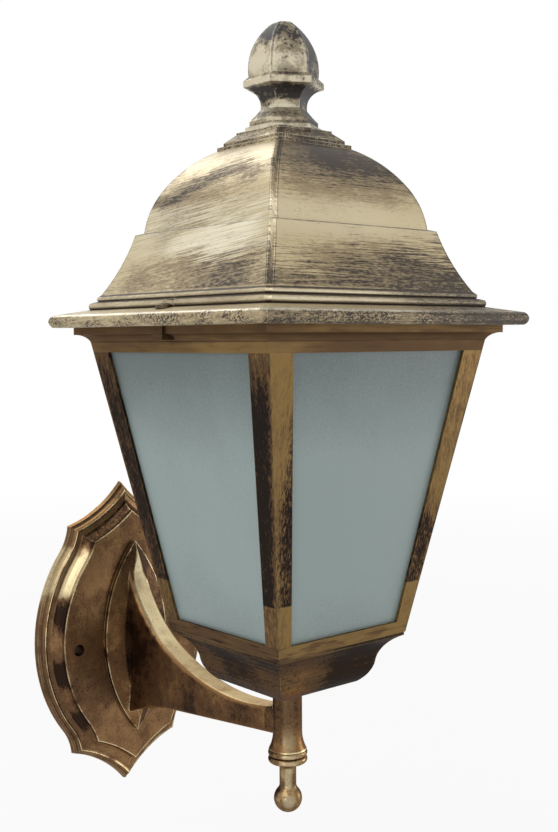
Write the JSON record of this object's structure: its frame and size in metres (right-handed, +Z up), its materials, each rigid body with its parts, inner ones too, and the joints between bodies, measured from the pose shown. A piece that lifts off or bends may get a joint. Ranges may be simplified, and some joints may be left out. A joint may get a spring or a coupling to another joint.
{
  "type": "wall lantern",
  "caption": "Tapered square wall lantern with frosted panes, stepped roof and finial, on a curved cast arm and a scalloped wall plate.",
  "frame": {"origin": "centre of the wall plate's back, on the wall plane", "axes": "+Y into the wall, +Z up, the lantern stands out towards -Y"},
  "size_m": [0.1516, 0.2125, 0.3736],
  "materials": {
    "bronze_paint": "satin",
    "champagne_paint": "satin",
    "frosted_glass": "matte",
    "steel": "satin",
    "brass": "satin",
    "white_plastic": "matte",
    "porcelain": "gloss",
    "opal_glass": "satin"
  },
  "bodies": {
    "root": {"wall_plate": "bronze_paint", "arm": "bronze_paint", "bottom_pan": "bronze_paint", "cage": "bronze_paint", "roof": "champagne_paint", "top_finial": "champagne_paint", "drop_finial": "bronze_paint", "pane_front": "frosted_glass", "pane_back": "frosted_glass", "pane_left": "frosted_glass", "pane_right": "frosted_glass", "roof_screws": "steel", "pan_screws": "steel", "arm_screws": "steel", "earth_screw": "brass", "terminal_screw": "steel", "terminal_block": "white_plastic", "threaded_tube": "brass", "tube_washer": "steel", "tube_nut": "brass", "finial_stud": "steel", "finial_washer": "steel", "finial_nut": "steel", "lampholder_body": "porcelain", "lampholder_shell": "brass", "lampholder_contact": "brass", "bulb": "opal_glass"}
  },
  "joints": []
}
